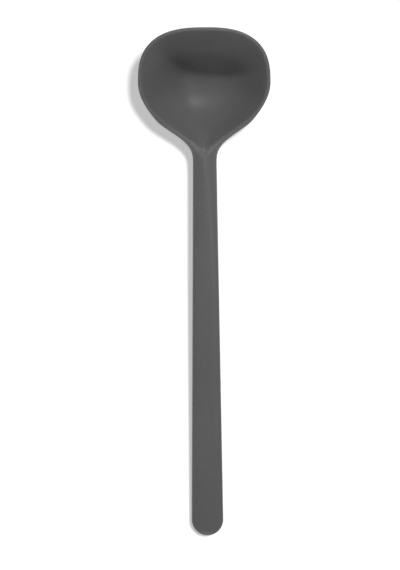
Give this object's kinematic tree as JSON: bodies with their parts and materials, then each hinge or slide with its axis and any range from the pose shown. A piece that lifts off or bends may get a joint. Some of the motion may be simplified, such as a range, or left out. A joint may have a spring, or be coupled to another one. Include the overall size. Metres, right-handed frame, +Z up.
{
  "type": "ladle",
  "caption": "Silicone ladle with a deep oval bowl, a rounded rim that runs into the neck and a straight tapering handle over a stiff core; scoops and pours liquid food.",
  "frame": {"origin": "on the surface the ladle lies on, inside the flat foot and under the bowl's widest line", "axes": "+Z up out of the bowl's mouth, +Y from the handle's end towards the bowl's front edge, +X to the right seen from above"},
  "size_m": [0.078, 0.3, 0.0435],
  "materials": {
    "silicone_face": "fine matte moulded silicone",
    "silicone_back": "fine matte moulded silicone",
    "core_nylon": "glass-filled nylon, plain",
    "spine_steel": "brushed along its length"
  },
  "bodies": {
    "root": {"silicone_face": "silicone_face", "silicone_back": "silicone_back", "bowl_core": "core_nylon", "handle_spine": "spine_steel"}
  },
  "joints": []
}
